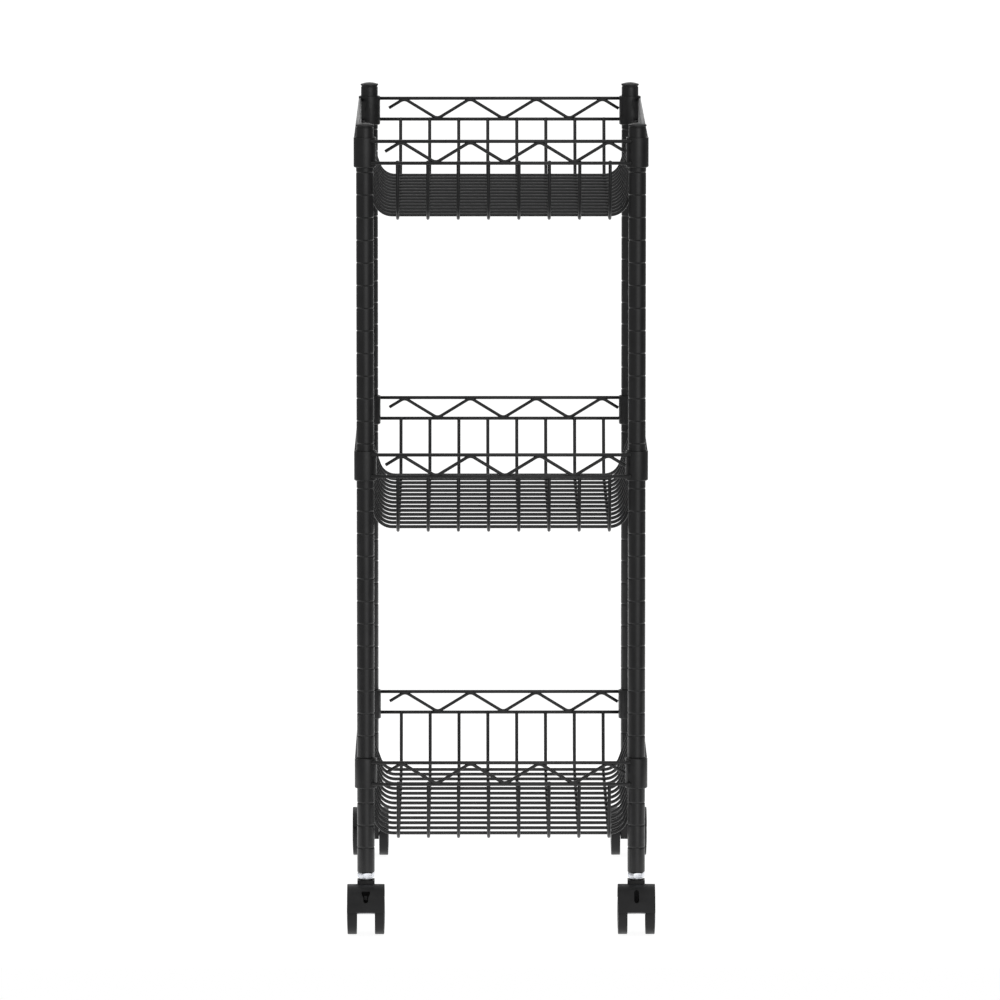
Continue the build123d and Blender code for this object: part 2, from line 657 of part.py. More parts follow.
def make_housing(braked):
    """Hood over both wheels, web between them, neck round the swivel pin."""
    arm_gap = BRAKE_LEVER_WIDTH + 2 * BRAKE_SLOT_CLEARANCE
    with BuildPart() as housing:
        with BuildSketch(Plane.YZ):
            hood_profile(HOOD_INNER_R, HOOD_OUTER_R)
        extrude(amount=HOOD_WIDTH / 2, both=True)
        rims = housing.edges().filter_by(GeomType.CIRCLE)
        rims = [edge for edge in rims if abs(edge.radius - HOOD_OUTER_R) < 0.01]
        fillet(rims, radius=HOOD_EDGE_ROUND)
        with BuildSketch(Plane.YZ):
            hood_profile(0, HOOD_OUTER_R - HOOD_WALL / 2)
            with Locations((0, WEB_FOOT_Z)):
                Rectangle(2 * WEB_LEADING_Y, HOOD_LEADING_EDGE_Z,
                          align=(Align.CENTER, Align.MIN))
            with Locations((EAR_TRAILING_Y, EAR_FOOT_Z)):
                Rectangle(-EAR_TRAILING_Y, EAR_TOP_Z - EAR_FOOT_Z,
                          align=(Align.MIN, Align.MIN))
            with Locations((WEB_LEADING_Y, WEB_FOOT_Z)):
                Rectangle(HOOD_OUTER_R, HOOD_OUTER_R, align=(Align.MIN, Align.MIN),
                          mode=Mode.SUBTRACT)
            with Locations((WEB_TRAILING_Y, EAR_TOP_Z)):
                Rectangle(HOOD_OUTER_R, HOOD_OUTER_R, align=(Align.MAX, Align.MIN),
                          mode=Mode.SUBTRACT)
            with Locations((EAR_TRAILING_Y, 0)):
                Rectangle(HOOD_OUTER_R, NECK_TOP_Z, align=(Align.MAX, Align.MIN),
                          mode=Mode.SUBTRACT)
        extrude(amount=WEB_WIDTH / 2, both=True)
        with BuildSketch(Plane.XY.offset(NECK_TOP_Z)):
            Circle(NECK_OD / 2)
        extrude(amount=NECK_ROOT_Z - NECK_TOP_Z)
        fillet(housing.edges().group_by(Axis.Z)[-1], radius=NECK_ROUND)
        with BuildSketch(Plane.XY.offset(NECK_TOP_Z)):
            Circle(STEM_PIN_DIAMETER / 2 + RUNNING_CLEARANCE)
        extrude(amount=-NECK_TOP_Z, mode=Mode.SUBTRACT)
        with BuildSketch(Plane.XY):
            Circle(RING_POCKET_R)
        extrude(amount=RING_POCKET_TOP_Z, mode=Mode.SUBTRACT)
        with BuildSketch(Plane.YZ):
            with Locations((-CASTER_TRAIL, WHEEL_R)):
                Circle(AXLE_DIAMETER / 2)
        extrude(amount=WEB_WIDTH, both=True, mode=Mode.SUBTRACT)
        extrude(finger_slot(braked), amount=-(CASTER_TRAIL + HOOD_OUTER_R + WEB_TRAILING_Y),
                mode=Mode.SUBTRACT)
        if braked:
            with BuildSketch(Plane.YZ):
                with Locations(BRAKE_PIVOT):
                    Circle(BRAKE_PIN_DIAMETER / 2)
            extrude(amount=WEB_WIDTH, both=True, mode=Mode.SUBTRACT)
            with BuildSketch(Plane.YZ):
                with Locations(BRAKE_PIVOT):
                    Circle(BRAKE_BOSS_OD / 2 + BRAKE_SLOT_CLEARANCE)
                with Locations((EAR_TRAILING_Y, EAR_FOOT_Z)):
                    Rectangle(BRAKE_SLOT_DEPTH, HOOD_OUTER_R, align=(Align.MIN, Align.MIN))
                with Locations((-CASTER_TRAIL, WHEEL_R)):
                    Circle(HOOD_INNER_R, mode=Mode.INTERSECT)
            extrude(amount=arm_gap / 2, both=True, mode=Mode.SUBTRACT)
    return housing.part


def make_axle():
    """Steel axle pressed through the web."""
    with BuildPart() as axle:
        with BuildSketch(Plane.YZ):
            with Locations((-CASTER_TRAIL, WHEEL_R)):
                Circle(AXLE_DIAMETER / 2)
        extrude(amount=AXLE_LENGTH / 2, both=True)
        chamfer(axle.edges().filter_by(GeomType.CIRCLE), length=AXLE_CHAMFER)
    return axle.part


def make_wheel():
    """Moulded wheel about the X axis, from its open inner side at x = 0 outwards."""
    bore_r = AXLE_DIAMETER / 2 + RUNNING_CLEARANCE
    bore_end = WHEEL_RIM_WIDTH - AXLE_END_INSET + AXLE_END_GAP
    disc_inner = WHEEL_RIM_WIDTH - WHEEL_DISC_THICKNESS
    hub_r = WHEEL_HUB_OD / 2
    edge = WHEEL_EDGE_ROUND
    crown_edge_r = WHEEL_R - edge
    middle_r, middle_rise = dome_middle(crown_edge_r, WHEEL_CROWN)
    with BuildPart() as wheel:
        with BuildSketch(Plane.XY):
            with BuildLine():
                Polyline(
                    (bore_end, 0),
                    (bore_end, bore_r),
                    (0, bore_r),
                    (0, hub_r),
                    (disc_inner, hub_r),
                    (disc_inner, RIM_INNER_R),
                    (0, RIM_INNER_R),
                    (0, WHEEL_R - edge),
                )
                RadiusArc((0, WHEEL_R - edge), (edge, WHEEL_R), edge)
                Line((edge, WHEEL_R), (WHEEL_RIM_WIDTH - edge, WHEEL_R))
                RadiusArc((WHEEL_RIM_WIDTH - edge, WHEEL_R), (WHEEL_RIM_WIDTH, crown_edge_r), edge)
                ThreePointArc(
                    (WHEEL_RIM_WIDTH, crown_edge_r),
                    (WHEEL_RIM_WIDTH + middle_rise, middle_r),
                    (WHEEL_RIM_WIDTH + WHEEL_CROWN, 0),
                )
                Line((WHEEL_RIM_WIDTH + WHEEL_CROWN, 0), (bore_end, 0))
            make_face()
        revolve(axis=Axis.X)
        rib_length = RIM_INNER_R - hub_r + 2 * WHEEL_RIB_ROOT
        with BuildSketch(Plane.YZ.offset(disc_inner)):
            with PolarLocations(0, WHEEL_RIB_COUNT):
                with Locations((hub_r - WHEEL_RIB_ROOT + rib_length / 2, 0)):
                    Rectangle(rib_length, WHEEL_RIB_THICKNESS)
        extrude(amount=-WHEEL_RIB_DEPTH)
    return wheel.part


def lever_arm(start, end):
    """Round-ended bar between two points of the open sketch."""
    run_y = end[0] - start[0]
    run_z = end[1] - start[1]
    with Locations(((start[0] + end[0]) / 2, (start[1] + end[1]) / 2)):
        SlotCenterToCenter(hypot(run_y, run_z), BRAKE_LEVER_THICKNESS,
                           rotation=degrees(atan2(run_z, run_y)))


def make_brake_lever():
    """Rocker with a thumb tab and a cross bar that presses on both rims from inside."""
    with BuildPart() as lever:
        with BuildSketch(Plane.YZ):
            lever_arm(BRAKE_PIVOT, BRAKE_BAR)
            lever_arm(BRAKE_BAR, BRAKE_TAB)
            with Locations(BRAKE_PIVOT):
                Circle(BRAKE_BOSS_OD / 2)
                Circle(BRAKE_PIN_DIAMETER / 2 + RUNNING_CLEARANCE, mode=Mode.SUBTRACT)
        extrude(amount=BRAKE_LEVER_WIDTH / 2, both=True)
        with BuildSketch(Plane.YZ):
            with Locations(BRAKE_BAR):
                Circle(BRAKE_BAR_DIAMETER / 2)
        extrude(amount=BRAKE_BAR_LENGTH / 2, both=True)
    return lever.part


def make_brake_pin():
    """Pivot pin of the brake lever, pressed into the ears of the web."""
    with BuildPart() as pin:
        with BuildSketch(Plane.YZ):
            with Locations(BRAKE_PIVOT):
                Circle(BRAKE_PIN_DIAMETER / 2)
        extrude(amount=WEB_WIDTH / 2, both=True)
    return pin.part


def wheel_places(corner_place, outward):
    """Locations of the outer and inner wheel of one caster.

    The turn of the caster swaps its own left and right, so outward says which way the
    cart's outside lies in the caster's frame.
    """
    places = {}
    for name, side in (("outer", outward), ("inner", -outward)):
        turn = (0, 0, 0) if side > 0 else (0, 0, 180)
        local = Location((side * WHEEL_GAP / 2, -CASTER_TRAIL, WHEEL_R), turn)
        places[name] = corner_place * local
    return places


def build_casters():
    """Four swivel casters; the front pair trails forwards and the rear pair backwards."""
    save_at(make_stem(), "caster_stems", corner_places())
    save_at(make_nut(), "lock_nuts", corner_places())
    save_at(make_ring(), "retaining_rings", corner_places())
    housings = {braked: make_housing(braked) for braked in (False, True)}
    axle = make_axle()
    wheel = make_wheel()
    lever = make_brake_lever()
    lever_pin = make_brake_pin()
    for corner, (x, y) in CORNERS.items():
        rear = y > 0
        place = Location((x, y, 0), (0, 0, 180 if rear else 0))
        braked = corner in BRAKED_CORNERS
        save_at(housings[braked], f"caster_housing_{corner}", [place])
        save_at(axle, f"caster_axle_{corner}", [place])
        outward = (1 if x > 0 else -1) * (-1 if rear else 1)
        for name, wheel_place in wheel_places(place, outward).items():
            save_at(wheel, f"wheel_{corner}_{name}", [wheel_place])
        if braked:
            save_at(lever, f"brake_lever_{corner}", [place])
            save_at(lever_pin, f"brake_pin_{corner}", [place])


build_posts()
for basket_level, (basket_groove, basket_rail_rise) in BASKETS.items():
    build_basket(basket_level, basket_groove, basket_rail_rise)
build_casters()
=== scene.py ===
import json
import math

import bmesh
import bpy
from mathutils import Euler, Matrix, Vector


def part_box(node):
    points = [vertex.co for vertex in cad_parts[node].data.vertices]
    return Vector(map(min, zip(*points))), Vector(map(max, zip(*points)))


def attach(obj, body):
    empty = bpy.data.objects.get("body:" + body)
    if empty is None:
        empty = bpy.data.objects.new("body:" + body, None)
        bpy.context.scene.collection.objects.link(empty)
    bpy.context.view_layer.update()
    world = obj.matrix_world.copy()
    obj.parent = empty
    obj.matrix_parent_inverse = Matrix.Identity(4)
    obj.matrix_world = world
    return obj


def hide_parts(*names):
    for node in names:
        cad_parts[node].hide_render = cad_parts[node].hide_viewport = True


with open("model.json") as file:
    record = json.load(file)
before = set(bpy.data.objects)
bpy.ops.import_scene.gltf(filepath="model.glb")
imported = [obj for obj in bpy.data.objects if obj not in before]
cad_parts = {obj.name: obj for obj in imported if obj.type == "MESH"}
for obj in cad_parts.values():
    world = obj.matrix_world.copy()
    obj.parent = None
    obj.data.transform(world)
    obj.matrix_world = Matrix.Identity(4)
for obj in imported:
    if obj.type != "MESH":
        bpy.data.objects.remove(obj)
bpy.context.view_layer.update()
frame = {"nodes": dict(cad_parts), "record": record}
MM = 0.001
LEVELS = ("top", "middle", "bottom")
CORNERS = ("front_left", "front_right", "rear_left", "rear_right")

# ---------------------------------------------------------------- camera and stage
CAMERA_PLACE = (-0.0345, -11.616, 1.928)
CAMERA_LENS = 367.7
CAMERA_SENSOR = 36.0
CAMERA_PITCH = 7.219
CAMERA_YAW = -0.168
FLOOR_X = (-1.7, 1.7)
FLOOR_Y = (-0.5, 18.0)
FLOOR_SHADE = 0.3
FLOOR_GLOW = 0.93
BACK_GLOW = 0.25
FRONT_GLOW = 0.16
KEY_AZIMUTH = math.radians(16)
KEY_WIDTH = math.radians(24)
KEY_GLOW = 1.3
KEY_HEIGHT = 0.15
KEY_SPREAD = 0.6
FILL_AZIMUTH = math.radians(-55)
FILL_WIDTH = math.radians(40)
FILL_GLOW = 0.18
TOP_GLOW = 0.6
SKY_RANGE = (0.55, 0.9)
BACK_EDGE = (-0.2, 0.25)
PANEL_PLACE = (0, 1.1, 0.55)
PANEL_WIDTH = 0.9
PANEL_HEIGHT = 1.8
PANEL_POWER = 4.6

# ---------------------------------------------------------------- posts and caps
POST_RADIUS = 9.8 * MM
POST_WALL = 1.6 * MM
GROOVE_PITCH = 25.4 * MM
GROOVE_RISE = 28.5 * MM
GROOVE_COUNT = 32
GROOVE_HALF = 0.95 * MM
GROOVE_DEPTH = 0.65 * MM
POST_SIDES = 64
CAP_FLANGE_RADIUS = 10.25 * MM
CAP_NECK_RADIUS = 9.1 * MM
CAP_NECK_HEIGHT = 1.3 * MM
CAP_FLANGE_HEIGHT = 1.8 * MM
CAP_DOME = 1.9 * MM
CAP_SOFT_EDGE = 0.45 * MM
CAP_PLUG_BORE = 5.5 * MM
CAP_PLUG_TAPER = 1 * MM
CAP_PLUG_LEAD = 2 * MM
POST_FOOT_ROUND = 1.2 * MM
POST_HEAD_ROUND = 0.6 * MM
# a groove's flank as (distance from its middle in half widths, depth as a share), outside first
GROOVE_FLANK = ((2.2, 0.0), (1.25, 0.02), (0.90, 0.16), (0.26, 0.80))

# ---------------------------------------------------------------- baskets
RAIL_RADIUS = 1.95 * MM
WIRE_RADIUS = 1.9 * MM
TRUSS_RADIUS = 1.85 * MM
RAIL_DROP = 24.4 * MM
FLOOR_DROP = 86.3 * MM
WALL_SLOPE = math.radians(20)
WIRE_BEND = 20 * MM
WIRE_TIP_RISE = 2 * MM
LONG_WIRES = 8
CROSS_WIRES = 14
TRUSS_PITCH = 77.1 * MM
TRUSS_SLOPE = math.radians(31.4)
TRUSS_BEND = 8.0 * MM
END_TRUSS_FIRST = -111.4 * MM
END_TRUSS_TAILS = (17.9 * MM, 19.1 * MM)
END_TRUSS_HALF_WAVES = 6
SIDE_TRUSS_TAILS = (19.0 * MM, 19.0 * MM)
SIDE_TRUSS_HALF_WAVES = 12
WELD_REACH = 8.9 * MM
COLLAR_RADIUS = 12.55 * MM
COLLAR_RISE = 3.6 * MM
COLLAR_DROP = 29.7 * MM
COLLAR_BORE = 11.4 * MM
COLLAR_BORE_FLARE = 0.15 * MM
COLLAR_FOOT_ROUND = 1.3 * MM
COLLAR_HEAD_ROUND = 0.25 * MM
COLLAR_LEAD = 0.3 * MM
RAIL_END_GAP = 8.2 * MM
SPOT_WELD = (1.5 * MM, 1.5 * MM, 0.55 * MM)
END_WELD = (2.2 * MM, 2.2 * MM, 3.4 * MM)
END_WELD_INSET = 0.6 * MM
WIRE_CHAMFER = 0.35 * MM
WIRE_SIDES = 16
ARC_STEP = math.radians(7.5)
SHARP_ANGLE = math.radians(50)

# ---------------------------------------------------------------- casters
WHEEL_RADIUS = 25 * MM
WHEEL_RIM = 10.5 * MM
WHEEL_CROWN = 0.8 * MM
WHEEL_HUB_RADIUS = 5.5 * MM
WHEEL_RIM_INNER = 21.5 * MM
WHEEL_SIDES = 96
WHEEL_EDGE_ROUND = 1.0 * MM
WHEEL_SMALL_ROUND = 0.4 * MM
WHEEL_DISC_INSET = 1.9 * MM
WHEEL_BORE_RADIUS = 2.55 * MM
WHEEL_BORE_LEAD = 0.3 * MM
WHEEL_GROOVE_RADIUS = 20.5 * MM
WHEEL_GROOVE_HALF = 0.9 * MM
WHEEL_GROOVE_DEPTH = 0.3 * MM
WHEEL_RIBS = 6
WHEEL_RIB_DEPTH = 3.6 * MM
WHEEL_RIB_THICKNESS = 1.6 * MM
WHEEL_RIB_BEHIND_DISC = 1.7 * MM
WHEEL_RIB_BITE = 0.3 * MM
WHEEL_RIB_TURN = 15
HOUSING_EDGE = 0.35 * MM
LEVER_EDGE = 0.4 * MM
NUT_EDGE = 0.25 * MM
BEVEL_ANGLE = math.radians(35)
SOFT_ANGLE = math.radians(40)
FLAT_ANGLE = math.radians(1)


# ================================================================ mesh helpers
def add_piece(name, mesh, body, material, replaces=()):
    """Link a finished mesh as a piece of the object."""
    obj = bpy.data.objects.new(name, mesh)
    bpy.context.scene.collection.objects.link(obj)
    obj.data.materials.append(material)
    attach(obj, body)
    if replaces:
        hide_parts(*replaces)
    return obj


def finish_mesh(bm, name, smooth_angle=None):
    """Turn a bmesh into a smooth-shaded mesh with outward normals."""
    bmesh.ops.recalc_face_normals(bm, faces=bm.faces)
    for face in bm.faces:
        face.smooth = True
    if smooth_angle is not None:
        for edge in bm.edges:
            edge.smooth = len(edge.link_faces) < 2 or edge.calc_face_angle() < smooth_angle
    mesh = bpy.data.meshes.new(name)
    bm.to_mesh(mesh)
    bm.free()
    return mesh


def ring(bm, centre, across, up, radius, sides):
    """One ring of vertices round a centre."""
    found = []
    for index in range(sides):
        turn = 2 * math.pi * index / sides
        outward = math.cos(turn) * across + math.sin(turn) * up
        found.append(bm.verts.new(centre + radius * outward))
    return found


def bridge(bm, first, second):
    """Quads between two rings of the same size."""
    sides = len(first)
    for index in range(sides):
        after = (index + 1) % sides
        bm.faces.new((first[index], first[after], second[after], second[index]))


def cap_end(bm, loop, centre):
    """A fan that closes a ring at its centre."""
    middle = bm.verts.new(centre)
    for index in range(len(loop)):
        bm.faces.new((loop[index], loop[(index + 1) % len(loop)], middle))


def add_tube(bm, points, radius, sides=WIRE_SIDES, chamfer=WIRE_CHAMFER):
    """A round wire along a line of points, its cut ends lightly broken."""
    points = [Vector(p) for p in points]
    start = (points[1] - points[0]).normalized()
    finish = (points[-1] - points[-2]).normalized()
    across = start.orthogonal().normalized()
    stations = [(points[0], radius - chamfer), (points[0] + start * chamfer, radius)]
    stations += [(p, radius) for p in points[1:-1]]
    stations += [(points[-1] - finish * chamfer, radius), (points[-1], radius - chamfer)]
    rings = []
    for index, (place, ring_radius) in enumerate(stations):
        before = stations[max(index - 1, 0)][0]
        after = stations[min(index + 1, len(stations) - 1)][0]
        along = (after - before).normalized()
        across = (across - along * across.dot(along)).normalized()
        rings.append(ring(bm, place, across, along.cross(across), ring_radius, sides))
    for first, second in zip(rings, rings[1:]):
        bridge(bm, first, second)
    cap_end(bm, rings[0], points[0])
    cap_end(bm, rings[-1], points[-1])


def rounded_path(corners, radius):
    """Corner points joined by straight runs and arcs of one radius."""
    corners = [Vector(c) for c in corners]
    path = [corners[0]]
    for before, corner, after in zip(corners, corners[1:], corners[2:]):
        inward = (before - corner).normalized()
        outward = (after - corner).normalized()
        half = inward.angle(outward) / 2
        sweep = math.pi - 2 * half
        middle = corner + (inward + outward).normalized() * (radius / math.sin(half))
        start = corner + inward * (radius / math.tan(half)) - middle
        axis = inward.cross(outward).normalized()
        steps = max(2, round(sweep / ARC_STEP))
        for step in range(steps + 1):
            turn = Matrix.Rotation(-sweep * step / steps, 3, axis)
            path.append(middle + turn @ start)
    path.append(corners[-1])
    return path


def lathe(bm, profile, centre, axis, sides):
    """Turn a profile of (radius, distance along the axis) about an axis through centre."""
    axis = Vector(axis).normalized()
    across = axis.orthogonal().normalized()
    up = axis.cross(across)
    centre = Vector(centre)
    previous = None
    for radius, along in profile:
        place = centre + axis * along
        if radius <= 1e-9:
            current = place
        else:
            current = ring(bm, place, across, up, radius, sides)
        if previous is not None:
            if isinstance(previous, Vector):
                cap_end(bm, current, previous)
            elif isinstance(current, Vector):
                cap_end(bm, previous, current)
            else:
                bridge(bm, previous, current)
        previous = current


def arc_points(centre, radius, start, end, steps):
    """Points on an arc of a profile, angles in degrees."""
    found = []
    for step in range(steps + 1):
        turn = math.radians(start + (end - start) * step / steps)
        found.append((centre[0] + radius * math.cos(turn), centre[1] + radius * math.sin(turn)))
    return found


# ================================================================ materials
def new_material(name):
    material = bpy.data.materials.new(name)
    material.use_nodes = True
    return material, material.node_tree, material.node_tree.nodes["Principled BSDF"]


def object_coordinates(tree):
    return tree.nodes.new("ShaderNodeTexCoord").outputs["Object"]


def noise(tree, coordinates, scale, detail=3.0, roughness=0.55):
    node = tree.nodes.new("ShaderNodeTexNoise")
    node.inputs["Scale"].default_value = scale
    node.inputs["Detail"].default_value = detail
    node.inputs["Roughness"].default_value = roughness
    tree.links.new(coordinates, node.inputs["Vector"])
    return node.outputs["Fac"]


def spread(tree, value, low, high, from_low=0.3, from_high=0.7):
    """Map a noise value onto a range."""
    node = tree.nodes.new("ShaderNodeMapRange")
    node.inputs["From Min"].default_value = from_low
    node.inputs["From Max"].default_value = from_high
    node.inputs["To Min"].default_value = low
    node.inputs["To Max"].default_value = high
    tree.links.new(value, node.inputs["Value"])
    return node.outputs["Result"]


def mix_colours(tree, factor, first, second):
    node = tree.nodes.new("ShaderNodeMix")
    node.data_type = "RGBA"
    node.inputs[6].default_value = (*first, 1)
    node.inputs[7].default_value = (*second, 1)
    tree.links.new(factor, node.inputs[0])
    return node.outputs[2]


def bump(tree, shader, height, strength, distance, before=None):
    node = tree.nodes.new("ShaderNodeBump")
    node.inputs["Strength"].default_value = strength
    node.inputs["Distance"].default_value = distance
    tree.links.new(height, node.inputs["Height"])
    if before is not None:
        tree.links.new(before, node.inputs["Normal"])
    tree.links.new(node.outputs["Normal"], shader.inputs["Normal"])
    return node.outputs["Normal"]


def worn_edges(tree, low, high):
    """Near one where a mesh is convex and sharp, near nought elsewhere."""
    geometry = tree.nodes.new("ShaderNodeNewGeometry")
    return spread(tree, geometry.outputs["Pointiness"], 0.0, 1.0, low, high)


def combine(tree, first, second, operation):
    node = tree.nodes.new("ShaderNodeMath")
    node.operation = operation
    for socket, value in zip(node.inputs, (first, second)):
        if isinstance(value, (int, float)):
            socket.default_value = value
        else:
            tree.links.new(value, socket)
    return node.outputs["Value"]


COAT_MOTTLE = 1.6
COAT_RUB = 4.0
COAT_RUB_EDGES = (0.66, 0.8)
# painted shade: the coat's shine is turned down in concave hollows such as the post grooves, so
# that they look shaded
COAT_PAINTED_SHADE_HOLLOWS = (0.40, 0.49)
COAT_PAINTED_SHADE_SHINE = 0.04
COAT_OPEN_SHINE = 0.5
NYLON_FLOW = 1.4
NYLON_SCUFF = 3.5
NYLON_SCUFF_EDGES = (0.64, 0.8)
LIFT = 0.001


def coated(name, colour, roughness, mottle_scale, peel_scale, peel_depth):
    """Black powder coat: orange-peel skin, slight mottling, rubbed edges, and painted shade in
    hollows, where the shine is turned down.
    """
    material, tree, shader = new_material(name)
    place = object_coordinates(tree)
    mottle = spread(tree, noise(tree, place, mottle_scale, 4.0), 0.0, 1.0)
    light = tuple(COAT_MOTTLE * c + LIFT for c in colour)
    body = mix_colours(tree, mottle, colour, light)
    rubbed = combine(tree, worn_edges(tree, *COAT_RUB_EDGES), mottle, "MULTIPLY")
    node = tree.nodes.new("ShaderNodeMix")
    node.data_type = "RGBA"
    tree.links.new(rubbed, node.inputs[0])
    tree.links.new(body, node.inputs[6])
    node.inputs[7].default_value = (*(COAT_RUB * c for c in colour), 1)
    tree.links.new(node.outputs[2], shader.inputs["Base Color"])
    rub = noise(tree, place, 3 * mottle_scale, 3.0)
    tree.links.new(spread(tree, rub, roughness - 0.05, roughness + 0.06),
                   shader.inputs["Roughness"])
    # Painted shade: pointiness cuts the shine in hollows, standing in for the shade that falls
    # in the grooves.
    geometry = tree.nodes.new("ShaderNodeNewGeometry")
    hollow_painted_shade_shine = spread(tree, geometry.outputs["Pointiness"], COAT_PAINTED_SHADE_SHINE,
                       COAT_OPEN_SHINE, *COAT_PAINTED_SHADE_HOLLOWS)
    tree.links.new(hollow_painted_shade_shine, shader.inputs["Specular IOR Level"])
    bump(tree, shader, noise(tree, place, peel_scale, 2.0), 1.0, peel_depth)
    return material


def moulded(name, colour, roughness, grain_scale, grain_depth, shine=0.5):
    """Injection-moulded nylon: spark-eroded grain, faint flow marks, scuffed edges."""
    material, tree, shader = new_material(name)
    place = object_coordinates(tree)
    flow = spread(tree, noise(tree, place, 45.0, 5.0, 0.6), 0.0, 1.0)
    light = tuple(NYLON_FLOW * c + LIFT for c in colour)
    body = mix_colours(tree, flow, colour, light)
    scuff = combine(tree, worn_edges(tree, *NYLON_SCUFF_EDGES), flow, "MULTIPLY")
    node = tree.nodes.new("ShaderNodeMix")
    node.data_type = "RGBA"
    tree.links.new(scuff, node.inputs[0])
    tree.links.new(body, node.inputs[6])
    node.inputs[7].default_value = (*(NYLON_SCUFF * c for c in colour), 1)
    tree.links.new(node.outputs[2], shader.inputs["Base Color"])
    shader.inputs["Specular IOR Level"].default_value = shine
    patch = noise(tree, place, 120.0, 2.0)
    tree.links.new(spread(tree, patch, roughness - 0.06, roughness + 0.08),
                   shader.inputs["Roughness"])
    bump(tree, shader, noise(tree, place, grain_scale, 1.0), 1.0, grain_depth)
    return material


def plated(name, colour, tint, roughness, scratch_scale):
    """Bright plated or drawn steel: cloudy tint and fine scratches."""
    material, tree, shader = new_material(name)
    place = object_coordinates(tree)
    cloud = spread(tree, noise(tree, place, 220.0, 3.0), 0.0, 1.0)
    tree.links.new(mix_colours(tree, cloud, colour, tint), shader.inputs["Base Color"])
    scratch = noise(tree, place, scratch_scale, 6.0, 0.7)
    tree.links.new(spread(tree, scratch, roughness - 0.05, roughness + 0.1),
                   shader.inputs["Roughness"])
    bump(tree, shader, scratch, 1.0, 0.000008)
    shader.inputs["Metallic"].default_value = 1.0
    return material


COAT = (0.0085, 0.0085, 0.009)
MATERIALS = {
    "post_coating": coated("post_coating", COAT, 0.33, 70, 800, 0.00002),
    "wire_coating": coated("wire_coating", COAT, 0.36, 110, 900, 0.000018),
    "collar_coating": coated("collar_coating", COAT, 0.34, 90, 800, 0.00002),
    "cap_plastic": moulded("cap_plastic", (0.012, 0.012, 0.0125), 0.42, 2600, 0.00001),
    "sleeve_plastic": moulded("sleeve_plastic", (0.010, 0.010, 0.010), 0.5, 2200, 0.00001),
    "caster_nylon": moulded("caster_nylon", (0.010, 0.010, 0.0105), 0.46, 2400, 0.000012, 0.28),
    "wheel_nylon": moulded("wheel_nylon", (0.006, 0.006, 0.0065), 0.42, 2000, 0.00001, 0.3),
    # brake lever: black nylon, made darker still as painted shade for the shadowed funnel recess
    # in the hood where it sits
    "brake_nylon": moulded("brake_nylon", (0.005, 0.005, 0.0055), 0.46, 2000, 0.00001, 0.2),
    "zinc_plate": plated("zinc_plate", (0.80, 0.81, 0.84), (0.66, 0.68, 0.73), 0.2, 700),
    "plain_steel": plated("plain_steel", (0.56, 0.56, 0.57), (0.45, 0.45, 0.46), 0.3, 900),
}


def finish_cad_nodes():
    """Give every CAD node its slot's material."""
    slots = {s["node"]: s["material_slot"] for s in frame["record"]["subparts"]}
    for name, obj in frame["nodes"].items():
        obj.data.materials.clear()
        obj.data.materials.append(MATERIALS[slots[name]])


def refined(node, name, body, slot, edge):
    """A copy of a CAD piece with its sharp edges rounded over."""
    source = frame["nodes"][node]
    bm = bmesh.new()
    bm.from_mesh(source.data)
    bmesh.ops.transform(bm, matrix=source.matrix_world, verts=bm.verts)
    bmesh.ops.remove_doubles(bm, verts=bm.verts, dist=1e-6)
    bmesh.ops.dissolve_limit(bm, angle_limit=FLAT_ANGLE, verts=bm.verts, edges=bm.edges)
    sharp = [e for e in bm.edges
             if len(e.link_faces) == 2 and e.calc_face_angle() > BEVEL_ANGLE]
    bmesh.ops.bevel(bm, geom=sharp, offset=edge, offset_type="WIDTH", segments=2,
                    profile=0.5, affect="EDGES", clamp_overlap=True)
    mesh = finish_mesh(bm, "visual_" + node, SOFT_ANGLE)
    return add_piece(name, mesh, body, MATERIALS[slot], [node])


# ================================================================ pieces
def node_centre(name):
    low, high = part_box(name)
    return (low + high) / 2


def post_profile():
    """Outside and inside of a post as (radius, height above its foot)."""
    low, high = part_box("post_front_left")
    length = high.z - low.z
    bore = POST_RADIUS - POST_WALL
    points = [(bore, 0.0)]
    points += arc_points((POST_RADIUS - POST_FOOT_ROUND, POST_FOOT_ROUND),
                         POST_FOOT_ROUND, -90, 0, 6)
    for index in range(GROOVE_COUNT):
        z = GROOVE_RISE + index * GROOVE_PITCH
        for reach, share in GROOVE_FLANK:
            points.append((POST_RADIUS - share * GROOVE_DEPTH, z - reach * GROOVE_HALF))
        points.append((POST_RADIUS - GROOVE_DEPTH, z))
        for reach, share in reversed(GROOVE_FLANK):
            points.append((POST_RADIUS - share * GROOVE_DEPTH, z + reach * GROOVE_HALF))
    points += arc_points((POST_RADIUS - POST_HEAD_ROUND, length - POST_HEAD_ROUND),
                         POST_HEAD_ROUND, 0, 90, 5)
    points.append((bore, length))
    points.append((bore, 0.0))
    return points


def make_posts():
    profile = post_profile()
    for corner in CORNERS:
        node = "post_" + corner
        low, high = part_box(node)
        centre = Vector(((low.x + high.x) / 2, (low.y + high.y) / 2, low.z))
        bm = bmesh.new()
        lathe(bm, profile, centre, (0, 0, 1), POST_SIDES)
        bmesh.ops.remove_doubles(bm, verts=bm.verts, dist=1e-7)
        mesh = finish_mesh(bm, "visual_" + node, SHARP_ANGLE)
        add_piece("grooved_" + node, mesh, "frame",
                  MATERIALS["post_coating"], [node])


def post_axes():
    """(x, y) of the four posts."""
    return [node_centre("post_" + corner).xy for corner in CORNERS]


def dome_profile(radius, base, height, steps):
    """A spherical dome from its rim up to the axis."""
    sphere = (radius ** 2 + height ** 2) / (2 * height)
    edge = math.asin(radius / sphere)
    found = []
    for step in range(steps + 1):
        turn = edge * (1 - step / steps)
        found.append((sphere * math.sin(turn), base + sphere * math.cos(turn) - sphere + height))
    return found


